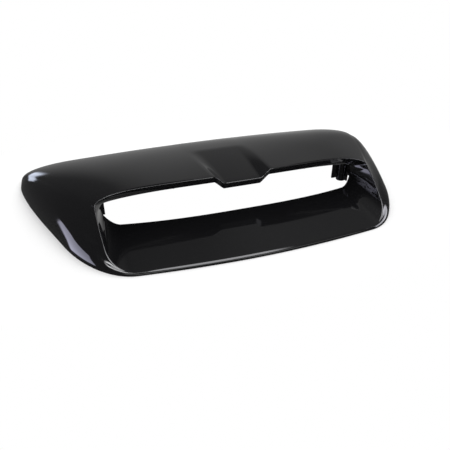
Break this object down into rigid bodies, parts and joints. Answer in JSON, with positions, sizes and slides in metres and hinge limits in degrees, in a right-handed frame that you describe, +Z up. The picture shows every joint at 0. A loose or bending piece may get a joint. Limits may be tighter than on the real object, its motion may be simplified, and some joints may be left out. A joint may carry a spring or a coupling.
{
  "type": "bonnet scoop",
  "caption": "Gloss black moulded bonnet air scoop with a wide mouth, a flat ramp, a channelled roof and an open back.",
  "frame": {"origin": "middle of the scoop's footprint, on the rim plane that lies on the bonnet", "axes": "+X across the bonnet, -Y towards the nose where the mouth faces, +Z up from the rim plane"},
  "size_m": [0.4798, 0.283, 0.0599],
  "materials": {
    "gloss_black": "piano black gloss"
  },
  "bodies": {
    "root": {"scoop_moulding": "gloss_black"}
  },
  "joints": []
}
